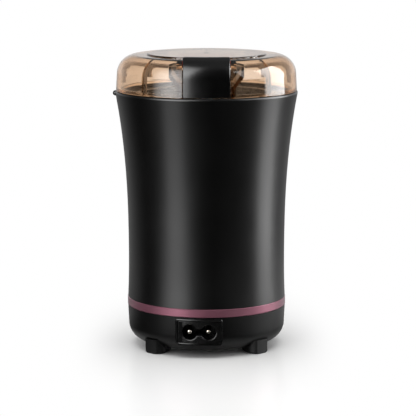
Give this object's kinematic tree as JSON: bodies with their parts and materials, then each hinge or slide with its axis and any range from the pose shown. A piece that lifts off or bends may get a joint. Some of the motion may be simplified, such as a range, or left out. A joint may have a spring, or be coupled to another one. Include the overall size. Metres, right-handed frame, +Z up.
{
  "type": "electric spice grinder",
  "caption": "Small electric grinder: waisted casing with a metal band, steel bowl and spinning blade, see-through lid whose push button closes the motor's switch, mains inlet low at the front.",
  "frame": {"origin": "on the floor under the motor's axis, at the middle of the four feet", "axes": "+Z up along the motor's axis; the button and the mains inlet face -Y; +X to the right of someone who looks at the button"},
  "size_m": [0.0856, 0.0844, 0.1372],
  "materials": {
    "casing_black": "fine satin moulding grain",
    "button_black": "satin moulded",
    "rose_metal": "brushed, tinted lacquer",
    "amber_clear": "polished tinted polycarbonate",
    "black_rubber": "matt",
    "grey_silicone": "matt",
    "deck_nylon": "satin moulded",
    "bowl_steel": "drawn and brushed",
    "blade_steel": "ground",
    "plated_steel": "zinc plated",
    "spring_steel": "drawn wire",
    "lamination_steel": "stamped, stacked",
    "enamelled_copper": "enamelled wire",
    "bare_copper": "turned",
    "brass": "stamped",
    "sintered_bronze": "oiled, porous",
    "carbon": "pressed graphite",
    "natural_nylon": "moulded",
    "switch_case": "moulded",
    "inlet_black": "moulded",
    "nickel_pin": "nickel plated"
  },
  "bodies": {
    "casing": {"upper_housing": "casing_black", "accent_ring": "rose_metal", "base_housing": "casing_black", "case_screws": "plated_steel", "inlet_socket": "inlet_black", "inlet_pin_left": "nickel_pin", "inlet_pin_right": "nickel_pin", "bowl_carrier": "deck_nylon", "grinding_bowl": "bowl_steel", "bowl_gasket": "grey_silicone", "shaft_seal": "grey_silicone", "microswitch": "switch_case", "return_spring": "spring_steel", "stator_core": "lamination_steel", "field_coil_left": "enamelled_copper", "field_coil_right": "enamelled_copper", "upper_bracket": "plated_steel", "lower_bracket": "plated_steel", "upper_bearing": "sintered_bronze", "lower_bearing": "sintered_bronze", "brush_holder_front": "brass", "brush_holder_rear": "brass", "carbon_brush_front": "carbon", "carbon_brush_rear": "carbon", "stator_bolts": "plated_steel", "motor_grommets": "black_rubber", "motor_screws": "plated_steel", "foot_front_left": "black_rubber", "foot_front_right": "black_rubber", "foot_rear_left": "black_rubber", "foot_rear_right": "black_rubber"},
    "lid": {"lid_shell": "amber_clear"},
    "button": {"press_button": "button_black"},
    "rod": {"switch_rod": "natural_nylon", "switch_plunger": "natural_nylon"},
    "rotor": {"rotor_shaft": "plated_steel", "armature_core": "lamination_steel", "armature_winding": "enamelled_copper", "commutator": "bare_copper", "cooling_fan": "natural_nylon", "blade_spacer": "plated_steel", "blade": "blade_steel", "blade_nut": "blade_steel"}
  },
  "joints": [
    {"name": "lid_lift", "type": "slide", "parent": "casing", "child": "lid", "axis": [0, 0, 1], "range_m": [0, 0.06]},
    {"name": "button_press", "type": "slide", "parent": "lid", "child": "button", "axis": [0, 0, -1], "range_m": [0, 0.002], "stiffness_N_per_m": 250, "springref_m": -0.002},
    {"name": "rod_slide", "type": "slide", "parent": "casing", "child": "rod", "axis": [0, 0, -1], "range_m": [0, 0.002], "stiffness_N_per_m": 100, "springref_m": -0.002, "deforming": ["return_spring"]},
    {"name": "motor_spin", "type": "hinge", "parent": "casing", "child": "rotor", "pos_m": [0, 0, 0.052], "axis": [0, 0, 1], "continuous": true}
  ],
  "couplings": [
    {"joint": "rod_slide", "follows": "button_press", "ratio": 1}
  ]
}
